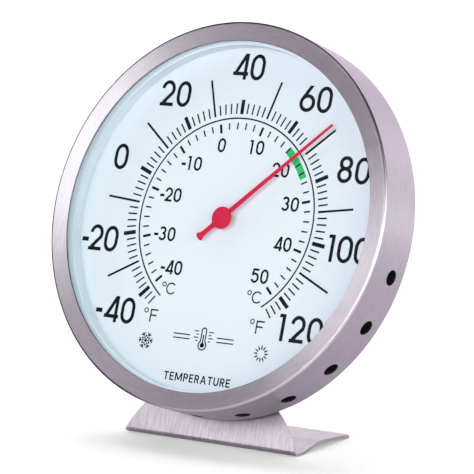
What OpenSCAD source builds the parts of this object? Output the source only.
// Dial thermometer with a bimetal movement, standing on a folded sheet steel foot.
// Row frame: +Z up, the dial looks along -Y and leans back. The origin is on the table,
// at the middle of the flat under the foot's front bend, straight below the bezel's centre.
// Dial frame (see on_dial): z is the depth behind the bezel's front plane, x is to the right,
// y runs down the dial. Names ending in _z are depths in this frame, unless noted.

/* [Case] */
// Outer radius of the case
case_r = 75; // [72:0.5:76]
// Depth of the case from bezel front to rear rim
case_depth = 22.65; // [22.65:0.05:24]
// Thickness of the case sheet
sheet = 0.8; // [0.6:0.1:0.9]
// Inner radius of the bezel opening
bezel_r = 67.74; // [67.5:0.02:68.1]
// How far the bezel face dips towards the window
bezel_dip = 0.77; // [0.4:0.01:0.9]
// Radius of the front corner
front_corner = 1.0; // [1:0.1:2]
// Radius of the rear corner
rear_corner = 1.0; // [0.85:0.05:1.5]
// Lean of the dial from upright, in degrees
tilt = 19.3; // [15:0.1:22]

/* [Vents] */
// Vents on each side of the lowest one
vents_each_side = 5; // [0:1:5]
// Angle between vents
vent_pitch = 15.7; // [14:0.1:16]
// Radius of a vent
vent_r = 3; // [2:0.1:3.2]
// Depth of the vent row behind the bezel front
vent_depth = 14.18; // [13.6:0.01:15]

/* [Window and dial] */
// Thickness of the window
lens_t = 2.0; // [1.5:0.1:2.3]
// Depth of the dial's front face
dial_depth = 9.13; // [9:0.01:9.3]
// Thickness of the dial plate
dial_t = 0.6; // [0.4:0.1:0.6]
// Inner radius of the white spacer ring
spacer_r = 67.0; // [66.5:0.1:67.2]

/* [Pointer] */
// Reading shown at rest, in degrees clockwise from the top
reading = 47; // [-141:1:141]
// Length from the axis to the tip
pointer_len = 57; // [45:0.5:60]
// Length of the tail
tail_len = 12.6; // [9:0.1:14]
// Radius of the hub disc
hub_r = 4.3; // [3.6:0.1:5]
// Thickness of the pointer
pointer_t = 0.6; // [0.4:0.1:0.8]
// Height of the pointer's top above the dial
pointer_h = 2.9; // [2.7:0.1:3.1]

/* [Movement] */
// Radius of the arbor
arbor_r = 1.0; // [0.8:0.1:1]
// Radial running clearance
run_gap = 0.03; // [0.01:0.01:0.1]
// Turns of the bimetal coil
coil_turns = 6.25; // [4.25:1:6.25]
// Radial pitch of the coil
coil_pitch = 1.5; // [1.2:0.1:1.5]
// Thickness of the bimetal strip
coil_t = 0.4; // [0.2:0.05:0.5]
// Width of the bimetal strip
coil_w = 4.6; // [3:0.1:4.6]
// Radius of the pillar circle
pillar_pcd_r = 18; // [17:0.5:18]

/* [Rear cover] */
// Wall thickness of the moulded cover
cover_t = 2.0; // [1.6:0.1:2]
// Depth of the cover's back face
cover_back = 25.05; // [25.05:0.05:26]
// Height of the keyhole's round entry above the dial's centre
keyhole_h = 44; // [36:1:50]
// Radius of the keyhole's entry
keyhole_r = 4; // [3.5:0.1:4.5]
// Half width of the keyhole's slot
keyhole_slot_r = 2; // [1.5:0.1:2.2]

/* [Stand] */
// Thickness of the stand sheet
stand_t = 0.9; // [0.8:0.05:1]
// Half width of the foot
stand_hw = 39.5; // [36:0.1:42]
// Distance of the tab's top below the dial's centre
tab_top = 57.2; // [55:0.1:59]
// Outer radius of the bend at the front of the foot
bend_r = 1.7; // [1.5:0.1:2.2]
// Length of the flat under the bend
foot_flat = 3.0; // [2:0.1:4]
// Rise angle of the foot behind the bend
rise_a = 11; // [8:0.5:12]
// Length of the rising stretch
rise_len = 9.4; // [8:0.1:10]
// Fall angle of the foot's rear stretch
fall_a = 4.8; // [4:0.1:5.5]
// Length of the falling stretch
fall_len = 15.6; // [12:0.1:16]
// Length of the flat lip at the rear edge
lip = 1.3; // [1:0.1:2]
// Radius of the foot's rear corners
foot_corner = 1.2; // [0.8:0.1:4]
// Distance of the stand screws from the middle
stand_screw_x = 14; // [12:0.5:15]
// Distance of the stand screws below the dial's centre
stand_screw_u = 64.5; // [63.5:0.1:65]

/* [Hidden] */
$fn = 96;
overlap = 0.01;  // how far joined shapes run into each other
past = 1;        // how far a cutter starts or ends outside its piece
through = 40;    // length of a cutter that leaves at the back

// bezel centre above the table
face_h = 87.8;

// case and the stack of window, spacer and dial
shell_in = case_r - sheet;
rim_r = case_r - 2.2;
stack_r = shell_in - 0.3;
lens_z = 2.30;
lens_back = lens_z + lens_t;
dial_back = dial_depth + dial_t;

// pointer and arbor
hub_bevel = 0.2;
axis_tip = dial_depth - pointer_h;
pointer_back = axis_tip + pointer_t + hub_bevel;
arbor_step_z = 8.95;  // the arbor is thinner in front of this

// movement frame
frame_r = 21.5;
plate_z = 10.6;
plate_t = 1.0;
strap_z = 20.0;
strap_t = 1.0;
strap_back = strap_z + strap_t;
strap_screw_x = 37;

// rear cover
cover_in = cover_back - cover_t;
pan_r = case_r - 2.5;
flange_t = 2.0;
flange_z = case_depth - sheet - flange_t;

// ---------- helpers ----------

function reversed(list) = [for (i = [len(list) - 1:-1:0]) list[i]];

// points of an arc about (x, y), in n steps
function arc(x, y, radius, from, to, n) =
    [for (i = [0:n]) let (a = from + (to - from) * i / n) [x + radius * cos(a), y + radius * sin(a)]];

// puts its children in the dial frame
module on_dial() translate([0, 0, face_h]) rotate([-(90 + tilt), 0, 0]) children();

// a place on the dial at a radius, an angle clockwise from the top, and depth z
module at_clock(radius, angle, z = 0) rotate([0, 0, angle]) translate([0, -radius, z]) children();

module at_pillars() for (a = [60, 180, 300]) at_clock(pillar_pcd_r, a) children();

// the three openings between the pillars
module at_openings(radius) for (a = [0, 120, 240]) at_clock(radius, a) children();

module at_strap_screws(z = 0)
    for (x = [-strap_screw_x, strap_screw_x]) translate([x, 0, z]) children();

module at_stand_screws(z = 0)
    for (x = [-stand_screw_x, stand_screw_x]) translate([x, stand_screw_u, z]) children();

// a cylinder from depth z backwards
module disc(radius, z, h) translate([0, 0, z]) cylinder(r = radius, h = h);

// a cutter for a hole right through
module bore(radius) cylinder(r = radius, h = through);

module ring(inner_r, outer_r, z, h) translate([0, 0, z]) difference() {
    cylinder(r = outer_r, h = h);
    disc(inner_r, -past, h + 2 * past);
}

// a pan head with a domed top, seat at z = 0, top towards +z
module pan_head(radius, h) {
    side_h = h * 0.35;
    round_r = h * 0.65;
    rotate_extrude() polygon(concat(
        [[0, 0], [radius, 0], [radius, side_h]],
        arc(radius - round_r, side_h, round_r, 15, 90, 5),
        [[0, h]]
    ));
}

// a pan head screw, seat at z = 0, with a cross recess of size [length, width, depth]
module screw(head_r, head_h, shank_r, shank_len, recess, shank_fn) difference() {
    union() {
        pan_head(head_r, head_h);
        disc(shank_r, -shank_len, shank_len + overlap, $fn = shank_fn);
    }
    translate([0, 0, head_h]) for (a = [0, 90]) rotate([0, 0, a])
        translate([-recess[0] / 2, -recess[1] / 2, -recess[2]])
            cube([recess[0], recess[1], recess[2] + past]);
}

// ---------- case and window ----------

bezel_turn = 98;  // angle the front corner turns through
// inner edge of the bezel: [radius beyond bezel_r, depth behind bezel_dip]
bezel_edge = [[0.2, sheet], [0, sheet - 0.2], [0, 0.2], [0.06, 0.05], [0.2, -0.03]];
vent_cut = 6;
gasket_inner_r = 68.4;
gasket_outer_r = 73.2;
lens_bevel = 0.3;
spacer_flange_w = 3.2;
spacer_wall = 1.4;
dial_hole_r = 2.2;

module case_shell() color([0.66, 0.63, 0.67]) on_dial() difference() {
    rotate_extrude($fn = 180) polygon(concat(
        [for (p = bezel_edge) [bezel_r + p[0], bezel_dip + p[1]]],
        arc(case_r - front_corner, front_corner, front_corner, -bezel_turn, 0, 12),
        arc(case_r - rear_corner, case_depth - rear_corner, rear_corner, 0, 90, 8),
        [[rim_r, case_depth], [rim_r, case_depth - sheet], [shell_in, case_depth - sheet]],
        arc(case_r - front_corner, front_corner, front_corner - sheet, 0, -bezel_turn, 6)
    ));
    for (k = [-vents_each_side:vents_each_side])
        at_clock(case_r, 180 + k * vent_pitch, vent_depth)
            rotate([90, 0, 0]) cylinder(r = vent_r, h = vent_cut, center = true, $fn = 48);
}

module lens_gasket() color([0.72, 0.76, 0.80]) on_dial() rotate_extrude($fn = 120) polygon([
    [gasket_inner_r, lens_z],
    [gasket_outer_r, lens_z],
    [gasket_outer_r, sheet + 0.1],
    [gasket_inner_r, bezel_dip + sheet + 0.03]
]);

module lens() color([0.9, 0.95, 1.0, 0.35]) on_dial() rotate_extrude($fn = 120) polygon([
    [0, lens_z],
    [stack_r - lens_bevel, lens_z],
    [stack_r, lens_z + lens_bevel],
    [stack_r, lens_back - lens_bevel],
    [stack_r - lens_bevel, lens_back],
    [0, lens_back]
]);

// inner wall with a narrow flange at the window and a wide foot on the dial
module spacer_ring() color([0.93, 0.95, 0.97]) on_dial() rotate_extrude($fn = 120) polygon([
    [spacer_r, lens_back],
    [spacer_r + spacer_flange_w, lens_back],
    [spacer_r + spacer_flange_w, lens_back + 0.8],
    [spacer_r + spacer_wall, lens_back + 1.2],
    [spacer_r + spacer_wall, dial_depth - 1.2],
    [stack_r, dial_depth - 1.0],
    [stack_r, dial_depth],
    [spacer_r, dial_depth]
]);

module dial_plate() color([0.91, 0.95, 0.98]) on_dial() difference() {
    disc(stack_r, dial_depth, dial_t, $fn = 120);
    bore(dial_hole_r);
}

// ---------- pointer and arbor ----------

tail_end_r = 2.6;
// right edge of needle and tail, from the tip at the top down to the tail's end
pointer_edge = [
    [0.25, -pointer_len], [0.42, -pointer_len + 0.3], [0.85, -12], [0.95, 0],
    [1.25, hub_r - 0.6], [0.95, hub_r + 1.0],
    [0.95, tail_len - 3.4], [1.15, tail_len - 2.1], [1.8, tail_len - 0.9]
];
spindle_r = arbor_r - 0.2;  // thin front part of the arbor
spindle_z = pointer_back + 0.35;
arbor_end = 21.0;
collet_r = 2.5;
collet_z = 12.9;
collet_len = 5.2;
collet_gap = 0.05;  // between strip and collet

module pointer() color([0.85, 0.14, 0.28]) on_dial()
    rotate([0, 0, reading]) translate([0, 0, axis_tip]) {
        // hub disc with a broken edge at the front
        cylinder(r1 = hub_r - hub_bevel, r2 = hub_r, h = hub_bevel);
        disc(hub_r, hub_bevel, pointer_t);
        // needle and tail in one plane, the tail flaring to a curved end
        translate([0, 0, 0.3]) linear_extrude(pointer_t - 0.2) polygon(concat(
            pointer_edge,
            arc(0, tail_len - tail_end_r, tail_end_r, 50, 130, 6),
            [for (p = reversed(pointer_edge)) [-p[0], p[1]]]
        ));
    }

module pointer_bush() color([0.80, 0.66, 0.36]) on_dial() difference() {
    translate([0, 0, pointer_back]) union() {
        cylinder(r = 3.0, h = 0.5);
        cylinder(r = 1.8, h = 1.5);
    }
    // blind from behind
    disc(spindle_r, pointer_back + 0.3, through);
}

module arbor() color([0.72, 0.73, 0.75]) on_dial() {
    disc(spindle_r, spindle_z, arbor_step_z - spindle_z + overlap);
    disc(arbor_r, arbor_step_z, arbor_end - arbor_step_z);
}

module coil_collet() color([0.80, 0.66, 0.36]) on_dial() difference() {
    disc(collet_r, collet_z, collet_len);
    bore(arbor_r);
    // slot for the coil's inner end
    translate([1.4, -(coil_t / 2 + collet_gap), collet_z - past])
        cube([4, coil_t + 2 * collet_gap, 7]);
}

// ---------- bimetal coil and calibration ----------

coil_z = 13.2;
coil_inner_r = collet_r + coil_t / 2 + collet_gap;
coil_outer_r = coil_inner_r + coil_turns * coil_pitch;
coil_step = 15;       // degrees between spiral points
coil_start_x = 1.6;   // inner end of the strip

post_r = 1.0;
post_z = 12.8;
post_rivet_r = 0.7;
post_a = 360 * (coil_turns - floor(coil_turns));
// the post stands a little way along the strip's straight end
post_run = 1.5;
post_slot_gap = 0.06;

// the carrier's arm reaches from the axis to the post
arm_a = post_a + atan2(post_run, coil_outer_r);
arm_r = norm([coil_outer_r, post_run]);
arm_hw = 2.4;
carrier_z = 18.9;
carrier_t = 1.0;
carrier_back = carrier_z + carrier_t;
hub_end = 24.0;
hub_rear_r = 3.5;
bearing_end = 21.2;
groove_r = 2.8;
groove_z = 21.42;
driver_slot_w = 1.0;
driver_slot_depth = 1.2;
clip_gap = 0.02;

// one edge of the strip: a spiral of constant pitch, moved sideways from the middle line
function spiral_edge(side) =
    [for (i = [0:coil_turns * 360 / coil_step])
        let (a = i * coil_step, radius = coil_inner_r + coil_pitch * a / 360 + side)
        [radius * cos(a), radius * sin(a)]];

module bimetal_coil() color([0.62, 0.55, 0.45]) on_dial() translate([0, 0, coil_z]) {
    linear_extrude(coil_w) polygon(concat(
        spiral_edge(-coil_t / 2),
        reversed(spiral_edge(coil_t / 2))
    ));
    // inner end turned in to the collet's slot
    translate([coil_start_x, -coil_t / 2, 0])
        cube([coil_inner_r - coil_start_x + coil_t / 2, coil_t, coil_w]);
    // outer end runs straight on through the anchor post
    rotate([0, 0, post_a]) translate([coil_outer_r - coil_t / 2, -0.2, 0])
        cube([coil_t, post_run + 1.7, coil_w]);
}

module anchor_post() color([0.80, 0.66, 0.36]) on_dial()
    rotate([0, 0, post_a]) translate([coil_outer_r, post_run, 0]) difference() {
        union() {
            disc(post_r, post_z, carrier_z - post_z);
            disc(post_rivet_r, carrier_z - overlap, carrier_t + overlap);
        }
        // slot for the strip, open at the front
        translate([-coil_t / 2 - post_slot_gap, -2, 12])
            cube([coil_t + 2 * post_slot_gap, 4, 6]);
    }

module calibration_carrier() color([0.78, 0.64, 0.34]) on_dial() difference() {
    union() {
        disc(5.5, carrier_z, carrier_t);
        rotate([0, 0, arm_a]) translate([0, -arm_hw, carrier_z])
            cube([arm_r, 2 * arm_hw, carrier_t]);
        rotate([0, 0, arm_a]) translate([arm_r, 0, carrier_z])
            cylinder(r = arm_hw, h = carrier_t);
        disc(hub_rear_r, carrier_back - overlap, hub_end - carrier_back + overlap);
    }
    // bearing for the arbor's rear end
    disc(arbor_r + run_gap, carrier_z - past, bearing_end - carrier_z + past);
    // rivet hole of the anchor post
    rotate([0, 0, arm_a]) translate([arm_r, 0, 0]) bore(post_rivet_r, $fn = 32);
    // groove of the clip
    ring(groove_r, 5, groove_z, 0.5);
    // screwdriver slot
    translate([-5, -driver_slot_w / 2, hub_end - driver_slot_depth])
        cube([10, driver_slot_w, 3]);
}

module retaining_clip() color([0.70, 0.71, 0.73]) on_dial() difference() {
    ring(groove_r + clip_gap, 5.2, groove_z + clip_gap, 0.46);
    // opening on the right
    translate([0, -2.0, 21]) cube([8, 4.0, 2]);
}

module friction_washer() color([0.70, 0.71, 0.73]) on_dial()
    ring(hub_rear_r + 0.1, 6.2, strap_back, 0.4);

// ---------- movement frame ----------

bush_nose_z = arbor_step_z + 0.05;
bush_collar_z = 9.9;
bush_rear_r = 3.0;
pillar_r = 2.2;
pillar_rivet_r = 1.4;
pillar_hole_z = 15.5;
bridge_screw_r = 1.0;
bridge_screw_tip = 16.2;
strap_hw = 7;
strap_screw_r = 1.4;
strap_screw_len = 4.2;

module front_plate() color([0.80, 0.66, 0.36]) on_dial() difference() {
    disc(frame_r, plate_z, plate_t);
    bore(bush_rear_r);
    at_pillars() bore(pillar_rivet_r, $fn = 32);
    // windows that let the air reach the coil
    at_openings(11) bore(4.2, $fn = 48);
}

// narrow nose, collar in front of the plate, and a rear part through the plate
module front_bush() color([0.84, 0.70, 0.38]) on_dial() difference() {
    union() {
        disc(2.0, bush_nose_z, 1.6);
        disc(3.8, bush_collar_z, plate_z - bush_collar_z);
        disc(bush_rear_r, plate_z - overlap, 1.8 + overlap);
    }
    bore(arbor_r + run_gap);
}

module pillars() color([0.80, 0.66, 0.36]) on_dial() at_pillars() difference() {
    union() {
        disc(pillar_rivet_r, plate_z, plate_t + overlap, $fn = 32);
        disc(pillar_r, plate_z + plate_t, strap_z - plate_z - plate_t, $fn = 48);
    }
    disc(bridge_screw_r, pillar_hole_z, through, $fn = 32);
}

module bridge_strap() color([0.68, 0.69, 0.71]) on_dial() difference() {
    translate([0, 0, strap_z]) union() {
        cylinder(r = frame_r, h = strap_t);
        translate([-strap_screw_x, -strap_hw, 0])
            cube([2 * strap_screw_x, 2 * strap_hw, strap_t]);
        at_strap_screws() cylinder(r = strap_hw, h = strap_t, $fn = 64);
    }
    bore(hub_rear_r + 0.05);
    at_pillars() bore(1.2, $fn = 32);
    at_strap_screws() bore(1.6, $fn = 32);
    at_openings(12) bore(4.5, $fn = 48);
}

module bridge_screws() color([0.74, 0.75, 0.77]) on_dial()
    at_pillars() translate([0, 0, strap_back])
        screw(head_r = 1.9, head_h = 1.3, shank_r = bridge_screw_r,
              shank_len = strap_back - bridge_screw_tip, recess = [2.2, 0.5, 0.7], shank_fn = 32);

// these go in from the front, so their heads point at the dial
module strap_screws() color([0.74, 0.75, 0.77]) on_dial()
    at_strap_screws(strap_z) rotate([180, 0, 0])
        screw(head_r = 2.8, head_h = 1.7, shank_r = strap_screw_r,
              shank_len = strap_screw_len, recess = [3.2, 0.6, 0.9], shank_fn = 32);

// ---------- rear cover ----------

pan_corner = 1.2;
// clockwise angles of the ribs from the top
rib_angles = [0, 55, 109.2, 156.4, 203.6, 250.8, 305];
rib_r = 2.2;
boss_r = 4;
insert_boss_z = 19.6;
insert_seat_z = 20.2;
insert_z = 20.25;
insert_r = 2.3;
land_t = 0.8;
keyhole_slot_len = 9;

module rear_cover() color([0.16, 0.16, 0.17]) on_dial() difference() {
    union() {
        // pan with a flange inside the case's rear rim
        rotate_extrude($fn = 120) polygon(concat(
            [[0, cover_in], [pan_r - cover_t, cover_in], [pan_r - cover_t, flange_z],
             [shell_in - 0.1, flange_z], [shell_in - 0.1, case_depth - sheet],
             [pan_r, case_depth - sheet]],
            arc(pan_r - pan_corner, cover_back - pan_corner, pan_corner, 0, 90, 6),
            [[0, cover_back]]
        ));
        // ribs that press the dial stack against the bezel
        for (a = rib_angles) at_clock(pan_r - cover_t - 0.6, a, dial_back)
            cylinder(r = rib_r, h = cover_in - dial_back + overlap, $fn = 32);
        // bosses of the strap
        at_strap_screws() disc(boss_r, strap_back, cover_in - strap_back + overlap, $fn = 48);
        // bosses of the stand inserts
        at_stand_screws()
            disc(boss_r, insert_boss_z, cover_in - insert_boss_z + overlap, $fn = 48);
        // thicker land around the keyhole, on the inside
        at_clock(keyhole_h + 5, 0, cover_in - land_t)
            cylinder(r = 11, h = land_t + overlap, $fn = 64);
    }
    // access to the calibration hub
    bore(hub_rear_r + 1.0, $fn = 64);
    // blind holes of the strap screws
    at_strap_screws() disc(strap_screw_r, strap_z, strap_screw_len + 0.1, $fn = 32);
    // seats of the stand inserts
    at_stand_screws() disc(insert_r, insert_seat_z, through, $fn = 48);
    // keyhole: round entry and a slot that runs up
    at_clock(keyhole_h, 0) bore(keyhole_r, $fn = 64);
    at_clock(keyhole_h + keyhole_slot_len, 0) {
        bore(keyhole_slot_r, $fn = 48);
        translate([-keyhole_slot_r, 0, 0]) cube([2 * keyhole_slot_r, keyhole_slot_len, through]);
    }
}

module stand_inserts() color([0.82, 0.68, 0.36]) on_dial() at_stand_screws() difference() {
    disc(insert_r, insert_z, cover_back - insert_z - 0.05, $fn = 48);
    bore(1.5, $fn = 48);
}

// ---------- stand ----------

crest_r = 8;      // bends at the start and the top of the rise
lip_bend_r = 6;   // bends of the step down to the lip
foot_zone_h = 3.9;  // the foot's outline holds up to this height above the table
foot_zone_below = 5;
stand_back = cover_back + stand_t;
washer_t = 0.5;

// the tab's front face meets the table's plane at tab_root below the dial's centre
tab_root = face_h / cos(tilt) - cover_back * tan(tilt);
bend_run = bend_r / tan((90 - tilt) / 2);
bend_y = bend_run + cover_back * cos(tilt) - tab_root * sin(tilt);
tab_run = tab_root - tab_top - bend_run;

// the tab's outline is a circle through its top and through both ends of the bend
bend_u = face_h * cos(tilt) - bend_y * sin(tilt);
dome_u = (pow(stand_hw, 2) + pow(bend_u, 2) - pow(tab_top, 2)) / (2 * (bend_u - tab_top));
dome_r = dome_u - tab_top;

// the last two bends bring the lip back down to the table
rise_h = crest_r * (1 - cos(rise_a)) + rise_len * sin(rise_a)
       + crest_r * (cos(fall_a) - cos(rise_a));
drop_h = rise_h - fall_len * sin(fall_a);
lip_a = acos((lip_bend_r * (1 + cos(fall_a)) - drop_h) / (2 * lip_bend_r));

// A path state is [y, z, heading] in the row frame.
// A step is [length, 0] for a line or [radius, turn angle] for an arc.
// move gives the state after a part (0 to 1) of a step.
function move(state, step, part) =
    let (from = state[2], to = from + step[1] * part, bend = sign(step[1]) * step[0])
    step[1] == 0
        ? [state[0] + step[0] * part * cos(from), state[1] + step[0] * part * sin(from), from]
        : [state[0] + bend * (sin(to) - sin(from)), state[1] - bend * (cos(to) - cos(from)), to];

// all states along the steps, each arc in ten parts
function walk(state, steps, i = 0) = i >= len(steps) ? [state] :
    let (step = steps[i], n = step[1] == 0 ? 1 : 10)
    concat([for (k = [0:n - 1]) move(state, step, k / n)],
           walk(move(state, step, 1), steps, i + 1));

// the front and lower face of the sheet, from the tab's top to the rear lip
tab_start = [
    cover_back * cos(tilt) - tab_top * sin(tilt),
    face_h - tab_top * cos(tilt) - cover_back * sin(tilt),
    270 - tilt
];
stand_path = walk(tab_start, [
    [tab_run, 0],
    [bend_r, 90 + tilt],
    [foot_flat, 0],
    [crest_r, rise_a],
    [rise_len, 0],
    [crest_r, -(rise_a + fall_a)],
    [fall_len, 0],
    [lip_bend_r, -(lip_a - fall_a)],
    [lip_bend_r, lip_a],
    [lip, 0]
]);
foot_end = stand_path[len(stand_path) - 1][0];

// the path moved by a distance to the left of its heading
function beside_path(distance) =
    [for (p = stand_path) [p[0] - distance * sin(p[2]), p[1] + distance * cos(p[2])]];

// plan of the foot, with rounded rear corners
module foot_outline() {
    corner_x = stand_hw - foot_corner;
    translate([-stand_hw, bend_y]) square([2 * stand_hw, foot_end - bend_y - foot_corner]);
    translate([-corner_x, bend_y]) square([2 * corner_x, foot_end - bend_y]);
    for (x = [-corner_x, corner_x])
        translate([x, foot_end - foot_corner]) circle(r = foot_corner, $fn = 48);
}

module stand() color([0.74, 0.70, 0.74]) difference() {
    intersection() {
        // the folded strip, pushed out across the width
        rotate([90, 0, 90]) linear_extrude(2 * stand_hw, center = true)
            polygon(concat(beside_path(0), reversed(beside_path(stand_t))));
        union() {
            // domed outline of the tab
            on_dial() translate([0, dome_u, 10]) cylinder(r = dome_r, h = 30, $fn = 180);
            translate([0, 0, -foot_zone_below]) linear_extrude(foot_zone_h + foot_zone_below)
                union() foot_outline();
        }
    }
    on_dial() at_stand_screws(20) cylinder(r = 1.65, h = 10, $fn = 48);
}

module stand_washers() color([0.72, 0.73, 0.75]) on_dial()
    at_stand_screws() ring(1.6, 3.5, stand_back, washer_t);

module stand_screws() color([0.74, 0.75, 0.77]) on_dial()
    at_stand_screws(stand_back + washer_t)
        screw(head_r = 2.8, head_h = 1.8, shank_r = 1.5,
              shank_len = 5.4, recess = [3.2, 0.6, 1.0], shank_fn = 48);

case_shell();
lens_gasket();
lens();
spacer_ring();
dial_plate();
pointer();
pointer_bush();
arbor();
coil_collet();
bimetal_coil();
anchor_post();
calibration_carrier();
retaining_clip();
friction_washer();
front_plate();
front_bush();
pillars();
bridge_strap();
bridge_screws();
strap_screws();
rear_cover();
stand_inserts();
stand();
stand_washers();
stand_screws();
